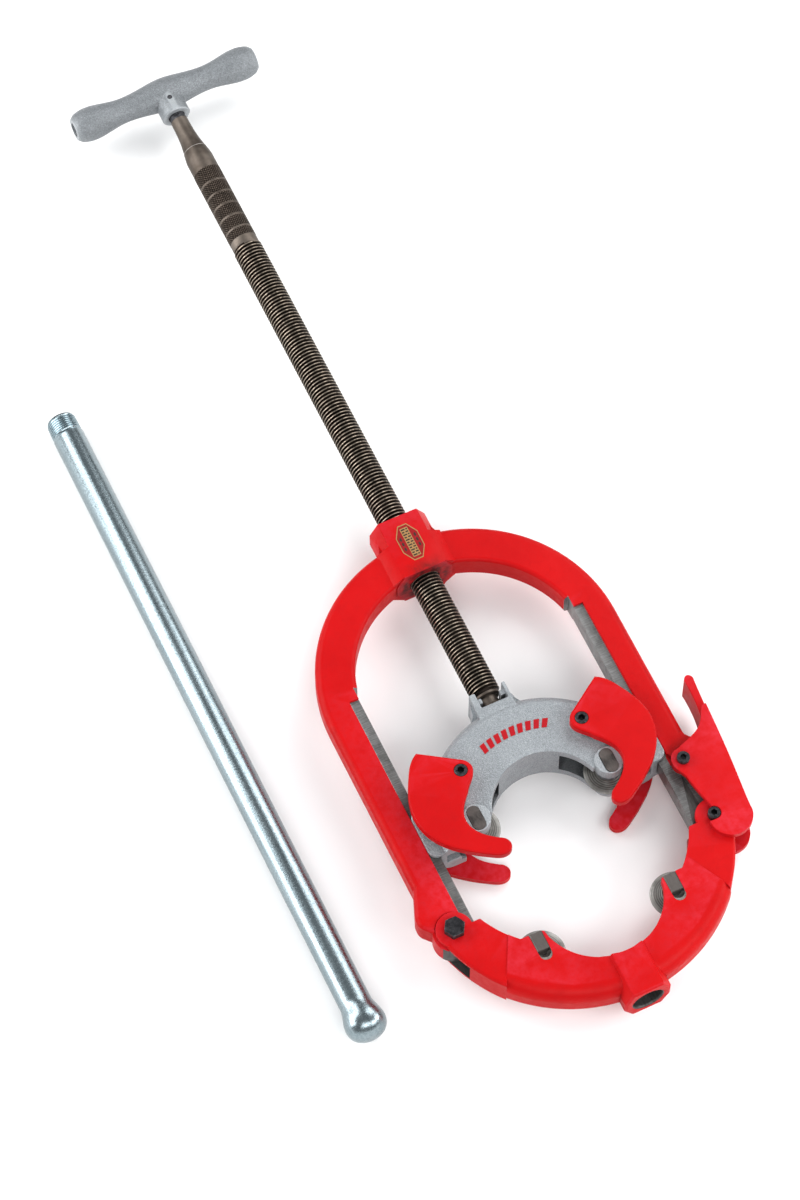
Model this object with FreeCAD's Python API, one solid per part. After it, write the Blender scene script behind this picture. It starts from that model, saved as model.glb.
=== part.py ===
import FreeCAD, Part
import math
import os

# Hinged four-wheel pipe cutter, all lengths in mm.
# Frame: +X right, +Y along the feed screw toward the tee handle, +Z out of the front face.
# The origin is the centre of the square made by the four cutter wheels.

# ---- levels across the tool (half thicknesses, both sides of z = 0)
Z_LEG = 16.0            # cast legs and arch
Z_RAIL = 13.0           # machined rails and tongues
Z_SLOT = 13.4           # slot between the ears of the lower frame
Z_EAR = 19.3            # outside of the ears
Z_RING = 20.5           # lower frame between the ears
Z_LATCH = (19.7, 26.3)  # inside and outside of the latch plates
Z_SLIDE = 26.0          # face of the slide
Z_FLANGE = 18.8         # flanges of the slide beside the legs, behind the latch plates
Z_GUIDE = (30.0, 39.5)  # inside and outside of the pipe guides

# ---- upper frame
LEG_OUT = (-162.3, 159.8)  # outer faces of the left and right legs
LEG_RED = 132.0
RAIL_IN = 121.5
ARCH_Y = 232.0
ARCH_OUT = 161.05
ARCH_X = -1.25          # centre line of the outside of the arch
RAIL_CUT = 262.0        # machining of the rails runs out into the arch here
ARCH_IN = 121.0
ARCH_ROUND = (8.0, 4.5)  # edge radii of the arch, outside and inside
RAIL_TOP = 250.0
HUB_Y = (348.0, 416.0)
HUB_FLAT = (22.2, 27.0)
HUB_SIDE = (31.4, 9.0)
HINGE = (-144.0, -21.0)
CATCH = (144.0, -21.0)
LATCH_PIVOT = (142.5, 44.5)
EAR_R = 19.0
EAR_GAP = 0.7
TONGUE_R = 18.0
SLOT_R = 42.0

# ---- lower frame
RING_Y = 17.5
RING_R = 170.5
RING_ROUND = 15.0       # radius of the outer edges between the step lines
EAR_RIM = (-3.9, 12.9)  # centre of the outer arc beside the right ear
EAR_RIM_R = 169.0       # and its radius
EAR_ROUND = 3.5
SCALLOP_Y = -49.0
SCALLOP_R = 66.0
SEAT_Y = 33.0
SEAT_R = 128.0
BOSS_Y = -163.5
BOSS_FLAT = (16.5, 24.5)
BOSS_SIDE = (25.5, 8.0)
SOCKET_R = 16.0
SOCKET_MOUTH_R = 17.4
SOCKET_DEPTH = 30.0

# ---- cutter wheels and pins
WHEEL_X = 74.0
WHEEL_Y = 74.5
WHEEL_R = 25.0
WHEEL_HUB_R = 13.0
WHEEL_HALF = 8.0
WINDOW_HALF = 8.6
WINDOW_R = 27.5
PIN_R = 6.35
RUN = 0.05              # radial running clearance

# ---- slide
SLIDE_Y = 62.0
SLIDE_R = 118.5
SLIDE_ROUND = 14.0
BORE_Y = 56.0
BORE_R = 59.0
SLIDE_LOW = 57.0
HOLLOW_HALF = 16.0      # half the room between the cheeks of the slide
FLANGE_TOP = 112.0
YOKE_X = (-21.5, 18.5)
YOKE_TOP = 201.0
PANEL_TOP = 183.5
YOKE_Z = 24.0
POCKET_X = 15.0
POCKET_Z = 19.0
POCKET_Y = 168.0
GUIDE_SCREW = (67.5, 124.0)

# ---- feed screw and tee handle
SCREW_R = 16.0
THREAD_Y = (203.0, 788.0)
SHANK_R = 14.2
NECK_R = 9.5
TEE_Y = 1002.0
TEE_HALF = 107.0
TEE_END_R = 18.0
TEE_WAIST_R = 14.0
COLLAR_R = 16.0
COLLAR_Y = 970.0
TEE_PIN_Y = 987.0
TEE_PIN_R = 2.75

# ---- loose pipe handle
TUBE_R = 16.7
TUBE_BORE = 13.3
THREAD_R = 15.95        # threaded end, fits the socket
KNOB_R = 21.5
TUBE_Y = (-54.0, 694.0)
HANDLE_X = -260.0
GROUND_Z = -40.3

V = FreeCAD.Vector
AXIS_Z = V(0, 0, 1)
AXIS_Y = V(0, 1, 0)
AXIS_X = V(1, 0, 0)


def box(x0, x1, y0, y1, z0, z1):
    return Part.makeBox(x1 - x0, y1 - y0, z1 - z0, V(x0, y0, z0))


def rod_z(x, y, r, z0, z1):
    return Part.makeCylinder(r, z1 - z0, V(x, y, z0), AXIS_Z)


def rod_y(x, z, r, y0, y1):
    return Part.makeCylinder(r, y1 - y0, V(x, y0, z), AXIS_Y)


def plate(points, z0, z1):
    corners = [V(x, y, z0) for x, y in points]
    wire = Part.makePolygon(corners + [corners[0]])
    return Part.Face(wire).extrude(V(0, 0, z1 - z0))


def smooth_plate(groups, z0, z1):
    """A plate whose outline is a chain of smooth curves and straight runs.
    Each group is (kind, points); kind is "line" or "curve"."""
    edges = []
    for kind, points in groups:
        pts = [V(x, y, z0) for x, y in points]
        if kind == "curve":
            curve = Part.BSplineCurve()
            curve.interpolate(pts)
            edges.append(curve.toShape())
        else:
            edges += [Part.makeLine(a, b) for a, b in zip(pts, pts[1:])]
    return Part.Face(Part.Wire(edges)).extrude(V(0, 0, z1 - z0))


def prism_y(points, y0, y1):
    corners = [V(x, y0, z) for x, z in points]
    wire = Part.makePolygon(corners + [corners[0]])
    return Part.Face(wire).extrude(V(0, y1 - y0, 0))


def octagon(flat, side):
    fx, fz = flat
    sx, sz = side
    return [(fx, fz), (sx, sz), (sx, -sz), (fx, -fz),
            (-fx, -fz), (-sx, -sz), (-sx, sz), (-fx, fz)]


def lathe_z(x, y, profile):
    """Turn (radius, z) points about the line through (x, y) along Z."""
    corners = [V(x + r, y, z) for r, z in profile]
    wire = Part.makePolygon(corners + [corners[0]])
    return Part.Face(wire).revolve(V(x, y, 0), AXIS_Z, 360)


def lathe_y(profile):
    """Turn (radius, y) points about the Y axis."""
    corners = [V(r, y, 0) for r, y in profile]
    wire = Part.makePolygon(corners + [corners[0]])
    return Part.Face(wire).revolve(V(0, 0, 0), AXIS_Y, 360)


def mirror_x(shape):
    return shape.mirror(V(0, 0, 0), AXIS_X)


def mirror_z(shape):
    return shape.mirror(V(0, 0, 0), AXIS_Z)


def hex_hole(x, y, across, z0, z1):
    r = across / math.sqrt(3)
    corners = [(x + r * math.cos(math.radians(60 * i)),
                y + r * math.sin(math.radians(60 * i))) for i in range(6)]
    return plate(corners, z0, z1)


def bevel(shape, size, test):
    """Chamfer the edges whose centre passes the test."""
    edges = [e for e in shape.Edges if test(e.CenterOfMass, e)]
    if not edges:
        return shape
    try:
        cut = shape.makeChamfer(size, edges)
        return cut if cut.isValid() and cut.Volume > 0 else shape
    except Exception:
        return shape


def fillet(shape, size, test):
    edges = [e for e in shape.Edges if test(e.CenterOfMass, e)]
    if not edges:
        return shape
    try:
        cut = shape.makeFillet(size, edges)
        return cut if cut.isValid() and cut.Volume > 0 else shape
    except Exception:
        return shape


def join(shapes):
    out = shapes[0].fuse(shapes[1:]) if len(shapes) > 1 else shapes[0]
    return out.removeSplitter()


# ------------------------------------------------------------ upper frame
def arch():
    ring = rod_z(ARCH_X, ARCH_Y, ARCH_OUT, -Z_LEG, Z_LEG)
    legs = box(LEG_OUT[0], LEG_OUT[1], 0, ARCH_Y, -Z_LEG, Z_LEG)
    body = ring.fuse(legs)
    body = fillet(body.removeSplitter(), ARCH_ROUND[0], outer_rim)
    body = body.cut(rod_z(0, ARCH_Y, ARCH_IN, -30, 30))
    body = fillet(body, ARCH_ROUND[1], inner_rim)
    return body.cut(box(-RAIL_IN, RAIL_IN, -60, RAIL_CUT, -30, 30))


def inner_rim(c, e):
    return abs(abs(c.z) - Z_LEG) < 0.1 and abs(c.x) < 1 and abs(c.y - ARCH_Y) < 1


def outer_rim(c, e):
    """The long outer edges of the arch and legs."""
    far = c.x < LEG_OUT[0] + 1 or c.x > LEG_OUT[1] - 1 or c.y > ARCH_Y + 60
    on_arch = e.Length > 100 and math.hypot(c.x, c.y - ARCH_Y) > 90 and far
    return on_arch and abs(abs(c.z) - Z_LEG) < 0.1


def hub():
    column = prism_y(octagon(HUB_FLAT, HUB_SIDE), HUB_Y[0], HUB_Y[1])
    shoulder = [(22.2, 27), (36, 15), (36, -15), (22.2, -27),
                (-22.2, -27), (-36, -15), (-36, 15), (-22.2, 27)]
    web = prism_y(shoulder, 349.0, 388.0)
    ear = [(20, 350), (60, 373), (50, 378.5), (41, 381.5),
           (35.5, 385.5), (31.5, 391.5), (29, 398.5), (20, 403)]
    right = plate(ear, -14, 14)
    return column.fuse([web, right, mirror_x(right)])


def knuckle():
    """Flared lower end of the left leg, outside the ear."""
    flare = plate([(-140, 46), (-162, 36), (-173.5, 8), (-174, -2), (-162.4, -15.2),
                   (-144, -21), (-132, -4), (-132, 46)], -Z_LEG, Z_LEG)
    flare = fillet(flare, 12.0, lambda c, e: abs(c.z) < 1 and c.x < -171)
    return fillet(flare, 5.0, lambda c, e: abs(abs(c.z) - Z_LEG) < 0.1 and c.x < -158)


def left_leg_end():
    core = rod_z(HINGE[0], HINGE[1], TONGUE_R + 4, -Z_RAIL, Z_RAIL)
    strip = box(-163, -RAIL_IN, HINGE[1], 30, -Z_RAIL, Z_RAIL)
    body = knuckle().fuse([core, strip])
    return clear_ears(body, HINGE).cut(rod_z(HINGE[0], HINGE[1], 6.4, -30, 30))


def clear_ears(body, centre):
    for z0, z1 in ((Z_RAIL, 30), (-30, -Z_RAIL)):
        body = body.cut(rod_z(centre[0], centre[1], EAR_R + EAR_GAP, z0, z1))
    return body


def right_leg_end():
    tongue = rod_z(CATCH[0], CATCH[1], TONGUE_R + 4, -Z_RAIL, Z_RAIL)
    strip = box(RAIL_IN, 163, CATCH[1], 60, -Z_RAIL, Z_RAIL)
    lug = plate([(132, 66), (157.9, 78), (159, 73), (162, 69), (166, 65.5), (168, 60), (168, 36),
                 (160, 26), (150, 26), (136, 52)], -Z_LEG, Z_LEG)
    pad = rod_z(LATCH_PIVOT[0], LATCH_PIVOT[1], 11.0, -Z_EAR, Z_EAR)
    body = tongue.fuse([strip, lug, pad])
    notch = box(CATCH[0] - 7.3, CATCH[0] + 7.3, CATCH[1] - 40, CATCH[1] + 1, -30, 30)
    notch = notch.fuse(rod_z(CATCH[0], CATCH[1] + 1, 7.3, -30, 30))
    return clear_ears(body, CATCH).cut(notch)


def upper_frame():
    body = arch()
    for side in (-1, 1):
        x0, x1 = sorted((side * (RAIL_IN - 5), side * LEG_RED))
        for z0, z1 in ((Z_RAIL, 30), (-30, -Z_RAIL)):
            body = body.cut(box(x0, x1, -60, RAIL_TOP, z0, z1))
    body = body.cut(box(-200, -100, -60, 30, -30, 30))
    body = body.cut(box(100, 200, -60, 60, -30, 30))
    body = join([body, hub(), left_leg_end(), right_leg_end()])
    body = body.cut(rod_y(0, 0, SCREW_R + RUN, 300, 450))
    body = body.cut(rod_z(LATCH_PIVOT[0], LATCH_PIVOT[1], 4.95, -30, 30))
    return body


def hub_label():
    pts = [(5, 21.5), (12.3, 9), (12.3, -9), (5, -21.5), (-5, -21.5), (-12.3, -9), (-12.3, 9), (-5, 21.5)]
    z = HUB_FLAT[1]
    return plate([(x, 383 + y) for x, y in pts], z, z + 0.3)


# ------------------------------------------------------------ lower frame
def rounded_disc(x, y, r, half, size):
    return fillet(rod_z(x, y, r, -half, half), size, lambda c, e: abs(abs(c.z) - half) < 0.01)


def ring_blank():
    blank = rounded_disc(0, RING_Y, RING_R, Z_RING, RING_ROUND)
    blank = blank.common(box(-200, 200, -200, HINGE[1] + 2, -40, 40))
    return blank.cut([ear_zone(-1), ear_zone(1)])


def ear_zone(side):
    """Everything beyond the step line, where the ring thins to the ears."""
    zone = plate([(94, -40), (127, -104), (200, -104), (200, 20), (94, 20)], -40, 40)
    return zone if side > 0 else mirror_x(zone)


def ring_opening():
    """Everything above the inner edge: the seats beside the pins and the scallop between them."""
    scallop = rod_z(0, SCALLOP_Y, SCALLOP_R, -40, 40)
    wide = rod_z(0, SEAT_Y, SEAT_R, -40, 40).cut(box(-200, 200, -200, -58.5, -40, 40))
    return scallop.fuse([wide, box(-60, 60, -62, 60, -40, 40)])


def boss_rounding():
    """Rounded shoulders of the two wheel bosses, right-hand side."""
    keep = rod_z(WHEEL_X, WHEEL_Y * -1, 16.3, -40, 40)
    corner = box(50, WHEEL_X, -74.5, -50, -40, 40)
    return corner.cut(keep)


def ears():
    out = []
    for x, y in (HINGE, CATCH):
        side = -1 if x < 0 else 1
        cheek = rod_z(x, y, EAR_R, -Z_EAR, Z_EAR)
        root = rounded_disc(side * EAR_RIM[0], EAR_RIM[1], EAR_RIM_R, Z_EAR, EAR_ROUND)
        root = root.common(ear_zone(side)).common(box(-200, 200, -200, y, -40, 40))
        root = root.cut(rod_z(0, SEAT_Y, SEAT_R, -40, 40))
        out += [cheek, root]
    return out


def slot_cutter(centre):
    """Slot between the ears for the leg tongue, open upward and outward."""
    side = -1 if centre[0] < 0 else 1
    disc = rod_z(centre[0], centre[1], SLOT_R, -Z_SLOT, Z_SLOT)
    x0, x1 = sorted((side * 90, side * 200))
    above = box(x0, x1, centre[1], 40, -Z_SLOT, Z_SLOT)
    return disc.fuse(above)


def wheel_window(side, y, up):
    """Room for one cutter wheel; up is +1 when the window opens upward."""
    x = side * WHEEL_X
    disc = rod_z(x, y, WINDOW_R, -WINDOW_HALF, WINDOW_HALF)
    y0, y1 = sorted((y, y + up * 60))
    return disc.fuse(box(x - WINDOW_R, x + WINDOW_R, y0, y1, -WINDOW_HALF, WINDOW_HALF))


def pin_slot(side):
    """Open slot for a lower wheel pin, with its round spot face below."""
    x = side * WHEEL_X
    slot = box(x - 6.8, x + 6.8, -80.0, -50.0, 12.0, 40).fuse(rod_z(x, -80.0, 6.8, 12.0, 40))
    spot = rod_z(x, -83.4, 6.6, Z_RING - 1.2, 40)
    tool = slot.fuse(spot)
    return tool.fuse([mirror_z(tool), rod_z(x, -WHEEL_Y, PIN_R + RUN, -40, 40)])


def lower_frame():
    body = ring_blank().cut(ring_opening())
    corner = boss_rounding()
    body = body.cut([corner, mirror_x(corner)])
    boss = prism_y(octagon(BOSS_FLAT, BOSS_SIDE), BOSS_Y, -113.0)
    boss = bevel(boss, 2.0, lambda c, e: abs(c.y - BOSS_Y) < 0.1)
    body = join([body, boss] + ears())
    body = body.cut(rod_z(0, SCALLOP_Y, SCALLOP_R, -40, 40))
    body = body.cut([slot_cutter(HINGE), slot_cutter(CATCH)])
    for side in (-1, 1):
        body = body.cut(wheel_window(side, -WHEEL_Y, 1))
        body = body.cut(pin_slot(side))
    body = body.cut(rod_y(0, 0, SOCKET_R, BOSS_Y - 1, BOSS_Y + SOCKET_DEPTH))
    body = body.cut(Part.makeCone(SOCKET_MOUTH_R, SOCKET_R, 2.0, V(0, BOSS_Y, 0), AXIS_Y))
    body = body.cut(rod_z(HINGE[0], HINGE[1], 6.35, -40, 40))
    body = body.cut(rod_z(CATCH[0], CATCH[1], 6.0, -40, 40))
    return body.removeSplitter()


def hinge_bolt():
    x, y = HINGE
    shank = rod_z(x, y, 6.35, -Z_EAR - 1.5, Z_EAR)
    head = hex_hole(x, y, 19.5, Z_EAR, Z_EAR + 8.0)
    crown = lathe_z(x, y, [(0, Z_EAR), (11.4, Z_EAR), (11.4, Z_EAR + 7), (9.6, Z_EAR + 8), (0, Z_EAR + 8)])
    return shank.fuse(head.common(crown))


def socket_head(x, y, r, z0, z1, hex_size):
    head = rod_z(x, y, r, z0, z1)
    head = bevel(head, 0.7, lambda c, e: abs(c.z - z1) < 0.01)
    return head.cut(hex_hole(x, y, hex_size, z1 - 0.55 * (z1 - z0), z1 + 1))


def catch_pin():
    x, y = CATCH
    shank = rod_z(x, y, 6.0, -Z_EAR, Z_EAR)
    front = socket_head(x, y, 6.3, Z_EAR, Z_EAR + 7.6, 6.0)
    back = rod_z(x, y, 6.3, -Z_EAR - 7.0, -Z_EAR)
    return shank.fuse([front, back])


def lower_pin(side):
    """Wheel pin with flat-sided ends that drop into the slots."""
    x = side * WHEEL_X
    shank = rod_z(x, -WHEEL_Y, PIN_R, -12.0, 12.0)
    key = box(x - 6.5, x + 6.5, -78.6, -59.0, 12.0, Z_RING + 0.4)
    key = bevel(key, 0.6, lambda c, e: abs(c.z - Z_RING - 0.4) < 0.01)
    return shank.fuse([key, mirror_z(key)])


def cutter_wheel(x, y):
    edge = 0.15
    profile = [(PIN_R + RUN, -WHEEL_HALF), (WHEEL_HUB_R, -WHEEL_HALF), (WHEEL_HUB_R, -4.2),
               (WHEEL_HUB_R + 3.5, -2.9), (WHEEL_R, -edge), (WHEEL_R, edge),
               (WHEEL_HUB_R + 3.5, 2.9), (WHEEL_HUB_R, 4.2), (WHEEL_HUB_R, WHEEL_HALF),
               (PIN_R + RUN, WHEEL_HALF)]
    return lathe_z(x, y, profile)


# ------------------------------------------------------------ slide
def slide_arc():
    z = Z_SLIDE
    disc = fillet(rod_z(0, SLIDE_Y, SLIDE_R, -z, z), SLIDE_ROUND, lambda c, e: abs(abs(c.z) - z) < 0.01)
    return disc.common(box(-130, 130, SLIDE_LOW, 300, -40, 40))


def cheek_hollow(side):
    """Hollow between the two cheeks beside one upper wheel, around the bosses of its pin."""
    x0, x1 = sorted((side * 34, side * 120))
    hollow = rod_z(0, SLIDE_Y, 98, -HOLLOW_HALF, HOLLOW_HALF)
    hollow = hollow.common(box(x0, x1, 40, 170, -HOLLOW_HALF, HOLLOW_HALF))
    return hollow.cut(rod_z(side * WHEEL_X, WHEEL_Y, 14, -40, 40))


def slide_sides():
    out = []
    for side in (-1, 1):
        x0, x1 = sorted((side * 96, side * (RAIL_IN - 0.35)))
        out.append(box(x0, x1, SLIDE_LOW, FLANGE_TOP, -Z_RAIL - 0.4, Z_RAIL + 0.4))
        x0, x1 = sorted((side * 96, side * (LEG_RED - 0.5)))
        for z0, z1 in ((Z_RAIL + 0.35, Z_FLANGE), (-Z_FLANGE, -Z_RAIL - 0.35)):
            cheek = box(x0, x1, SLIDE_LOW, FLANGE_TOP, z0, z1)
            out.append(fillet(cheek, 9.0, lambda c, e: is_flange_corner(c, e)))
    return out


def is_flange_corner(c, e):
    low = abs(c.y - SLIDE_LOW) < 0.1 or abs(c.y - FLANGE_TOP) < 0.1
    return low and abs(abs(c.x) - LEG_RED + 0.5) < 0.1 and e.Length < 12


def yoke():
    x0, x1 = YOKE_X
    walls = box(x0, x1, 150, YOKE_TOP, -YOKE_Z, YOKE_Z)
    walls = walls.cut(box(-POCKET_X, POCKET_X, PANEL_TOP, 260, -40, 40))
    groups = [("line", [(-50, 150), (50, 150), (50, 166)]),
              ("curve", [(50, 166), (37, 170), (26.5, 177), (21.5, 188), (x1, YOKE_TOP - 3)]),
              ("line", [(x1, YOKE_TOP - 3), (x0, YOKE_TOP - 3)]),
              ("curve", [(x0, YOKE_TOP - 3), (-24.5, 188), (-29.5, 177), (-39, 170), (-50, 166)]),
              ("line", [(-50, 166), (-50, 150)])]
    flare = smooth_plate(groups, -14, 14).cut(box(-POCKET_X, POCKET_X, 140, 260, -40, 40))
    return walls.fuse(flare)


def yoke_pocket():
    """Pocket for the screw end: wide below, narrow lips above, open to the front over the panel."""
    wide = box(-POCKET_X, POCKET_X, POCKET_Y, 190.0, -POCKET_Z, POCKET_Z)
    return wide


def yoke_lips():
    """Two inner lips that hold the collar of the screw."""
    z = POCKET_Z - 1
    lips = box(-POCKET_X - 1, POCKET_X + 1, 190.0, 196.0, -z, z)
    throat = rod_y(0, 0, NECK_R + 0.6, 180, 210)
    gap = box(-NECK_R - 0.6, NECK_R + 0.6, 180, 210, 0, 40)
    return lips.cut([throat, gap])


def slide_block():
    body = join([slide_arc(), yoke()] + slide_sides())
    body = body.cut([rod_z(0, BORE_Y, BORE_R, -40, 40), box(-BORE_R, BORE_R, 0, BORE_Y, -40, 40)])
    below = box(50, 92, 40, WHEEL_Y, -40, 40).cut(rod_z(WHEEL_X, WHEEL_Y, 15.0, -40, 40))
    body = body.cut([below, mirror_x(below)])
    pads = []
    for side in (-1, 1):
        pads.append(rod_z(side * WHEEL_X, WHEEL_Y, 15.0, -29.0, 29.0))
        pads.append(rod_z(side * GUIDE_SCREW[0], GUIDE_SCREW[1], 12.5, -Z_GUIDE[0], Z_GUIDE[0]))
        x0, x1 = sorted((side * 92, side * 112))
        pads.append(box(x0, x1, 78, 104, -Z_GUIDE[0], Z_GUIDE[0]))
    body = join([body] + pads)
    body = body.cut(yoke_pocket())
    body = join([body, yoke_lips()])
    for side in (-1, 1):
        body = body.cut([cheek_hollow(side), wheel_window(side, WHEEL_Y, -1)])
        x0, x1 = sorted((side * 88, side * 114))
        body = body.cut(box(x0, x1, 40, 82, -WINDOW_HALF, WINDOW_HALF))
        slot = upper_key(side, 0.25)
        body = body.cut([slot, mirror_z(slot), rod_z(side * WHEEL_X, WHEEL_Y, PIN_R + RUN, -40, 40)])
        x, y = side * GUIDE_SCREW[0], GUIDE_SCREW[1]
        body = body.cut([rod_z(x, y, 4.0, 12, 40), rod_z(x, y, 4.0, -40, -12)])
    return body.removeSplitter()


def upper_key(side, grow):
    """Oblong end of an upper wheel pin (grow widens it for the slot)."""
    x = side * WHEEL_X
    w = 6.8 + grow
    top = 29.6 if grow == 0 else 40
    key = box(x - w, x + w, WHEEL_Y - 8, WHEEL_Y + 6, 14, top)
    return key.fuse([rod_z(x, WHEEL_Y - 7, w, 14, top), rod_z(x, WHEEL_Y + 6.5, w, 14, top)])


def upper_pin(side):
    shank = rod_z(side * WHEEL_X, WHEEL_Y, PIN_R, -14.0, 14.0)
    key = upper_key(side, 0)
    return shank.fuse([key, mirror_z(key)])


def slide_mark():
    """Plain raised band where the maker would put a name."""
    z = Z_SLIDE
    band = rod_z(0, SLIDE_Y - 20, 109.5, z, z + 0.5).cut(rod_z(0, SLIDE_Y - 20, 98.5, z - 1, z + 1))
    return band.common(box(-38, 38, 100, 200, z, z + 1))


def guide_outline():
    edge = [(100, 160), (110, 152), (119, 138), (126, 124), (130.5, 110), (132.0, 98), (130.8, 86),
            (126.8, 73.5), (120, 62), (111, 51.8), (100.5, 43), (90, 35.2), (80, 28.8), (71.5, 24.2),
            (64.5, 23.2), (58.6, 25.8), (56.2, 31.5), (58.4, 37.6), (63, 41.2)]
    inner = [(63, 41.2), (71.8, 47.5), (79.8, 55.5), (84.8, 64.5), (86.2, 73.5), (83.6, 83.5), (78, 92.4),
             (70, 101.5)]
    nose = [(70, 101.5), (62, 111), (56.5, 118), (55, 123.5), (57.5, 130.5), (64, 136)]
    tail = [(64, 136), (90, 153.5), (100, 160)]
    return [("curve", edge), ("curve", inner), ("curve", nose), ("line", tail)]


def guide(side, front):
    z0, z1 = Z_GUIDE
    body = smooth_plate(guide_outline(), z0, z1)
    body = fillet(body, 2.2, lambda c, e: abs(c.z - z1) < 0.01 and e.Length > 12)
    x, y = GUIDE_SCREW
    body = body.cut([rod_z(x, y, 4.3, 0, 60), rod_z(x, y, 7.2, z1 - 6.0, 60)])
    body = body if side > 0 else mirror_x(body)
    return body if front else mirror_z(body)


def guide_screw(side, front):
    x, y = side * GUIDE_SCREW[0], GUIDE_SCREW[1]
    z1 = Z_GUIDE[1]
    head = socket_head(x, y, 6.6, z1 - 6.0, z1 + 0.8, 6.5)
    shank = rod_z(x, y, 4.0, 13.0, z1 - 6.0)
    screw = head.fuse(shank)
    return screw if front else mirror_z(screw)


# ------------------------------------------------------------ screw, tee handle
def feed_screw():
    neck_y = 190.0
    profile = [(0, 170.0), (11.5, 170.0), (14.0, 172.0), (14.0, neck_y - 0.5), (NECK_R, neck_y - 0.5),
               (NECK_R, 199.5), (13.2, 199.5), (SCREW_R, THREAD_Y[0]), (SCREW_R, THREAD_Y[1] - 2),
               (SHANK_R, THREAD_Y[1]), (SHANK_R, 922.0), (NECK_R, 936.0), (NECK_R, 996.0), (0, 996.0)]
    body = lathe_y(profile)
    return body.cut(rod_z(0, TEE_PIN_Y, TEE_PIN_R, -40, 40))


def tee_bar():
    """Waisted bar with rounded ends, hollow at both ends."""
    h = TEE_HALF
    top = [(-h + 4, TEE_END_R - 2.5), (-h + 13, TEE_END_R), (-56, TEE_WAIST_R), (-29, TEE_WAIST_R + 0.9),
           (0, TEE_END_R), (29, TEE_WAIST_R + 0.9), (56, TEE_WAIST_R), (h - 13, TEE_END_R),
           (h - 4, TEE_END_R - 2.5)]
    curve = Part.BSplineCurve()
    curve.interpolate([V(x, r, 0) for x, r in top])
    pts = [(h - 4, TEE_END_R - 2.5), (h, TEE_END_R - 6), (h, 0), (-h, 0), (-h, TEE_END_R - 6),
           (-h + 4, TEE_END_R - 2.5)]
    lines = [Part.makeLine(V(a[0], a[1], 0), V(b[0], b[1], 0)) for a, b in zip(pts, pts[1:])]
    bar = Part.Face(Part.Wire([curve.toShape()] + lines)).revolve(V(0, 0, 0), AXIS_X, 360)
    for side in (-1, 1):
        start = V(side * (h + 1), 0, 0)
        bar = bar.cut(Part.makeCylinder(8.0, 70, start, V(-side, 0, 0)))
    bar.translate(V(0, TEE_Y, 0))
    return bar


def t_handle():
    collar = rod_y(0, 0, COLLAR_R, COLLAR_Y, TEE_Y)
    collar = bevel(collar, 1.2, lambda c, e: abs(c.y - COLLAR_Y) < 0.1)
    body = join([tee_bar(), collar])
    body = body.cut(rod_y(0, 0, NECK_R, COLLAR_Y - 1, 996.0))
    return body.cut(rod_z(0, TEE_PIN_Y, TEE_PIN_R, -40, 40))


def t_handle_pin():
    return rod_z(0, TEE_PIN_Y, TEE_PIN_R, -15.4, 15.0)


# ------------------------------------------------------------ latch
def latch_plate_outline():
    left = [(136.7, 26), (139.7, 8), (142.4, -4), (144.6, -13)]
    lobe = [(136.0, -27.6), (136.2, -34), (138.6, -41), (143, -46.5), (149.5, -50.8), (157, -52.4),
            (166, -51), (174, -46), (178.6, -39.5), (180.2, -31)]
    right = [(180.2, -31), (183.4, -2), (185.9, 20), (187.8, 40), (189.6, 62), (191.6, 90)]
    root = [(191.6, 90), (186.5, 89), (182.5, 83), (177.5, 75.5),
            (171, 68.6), (163.5, 64.6), (150, 59.6), (141, 57.2)]
    pivot = [(141, 57.2), (134.5, 54), (130.8, 48), (130.6, 41), (133.2, 34), (136.7, 26)]
    return [("curve", left), ("line", [(144.6, -13), (144.6, -20), (136.0, -27.6)]), ("curve", lobe),
            ("curve", right), ("curve", root), ("curve", pivot)]


def latch_notch():
    """Arc-shaped mouth centred on the pivot, so the lip swings clear of the catch head."""
    reach = math.dist(LATCH_PIVOT, CATCH)
    band = rod_z(LATCH_PIVOT[0], LATCH_PIVOT[1], reach + 6.9, -40, 40)
    band = band.cut(rod_z(LATCH_PIVOT[0], LATCH_PIVOT[1], reach - 6.9, -41, 41))
    band = band.common(box(120, CATCH[0], -60, 0, -40, 40))
    return band.fuse(rod_z(CATCH[0], CATCH[1], 6.9, -40, 40))


def latch_finger():
    groups = [("curve", [(189.6, 62), (191.6, 90), (193.2, 110), (194.2, 122)]),
              ("curve", [(194.2, 122), (193.0, 127.0), (189.6, 129.0), (186.2, 127.4), (184.8, 123.0)]),
              ("curve", [(184.8, 123.0), (184.6, 108), (183.6, 94), (181.2, 80), (177.6, 62)]),
              ("line", [(177.6, 62), (189.6, 62)])]
    return smooth_plate(groups, -19.0, 19.0)


def latch():
    z0, z1 = Z_LATCH
    outline = latch_plate_outline()
    front = smooth_plate(outline, z0, z1)
    back = smooth_plate(outline, -z1, -z0)
    web = plate([(175.4, -36), (179.2, -36), (182.8, -2), (185.3, 20), (188.9, 62), (189.5, 63),
                 (177.7, 63), (175.4, 40)], -z0, z0)
    body = join([front, back, web, latch_finger()])
    body = body.cut([latch_notch(), rod_z(LATCH_PIVOT[0], LATCH_PIVOT[1], 5.0, -40, 40)])
    return body.removeSplitter()


def latch_pivot_screw():
    x, y = LATCH_PIVOT
    shank = rod_z(x, y, 4.95, -Z_LATCH[1] - 0.5, Z_LATCH[1] + 0.4)
    head = socket_head(x, y, 6.6, Z_LATCH[1] + 0.4, Z_LATCH[1] + 5.0, 6.0)
    return shank.fuse(head)


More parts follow.
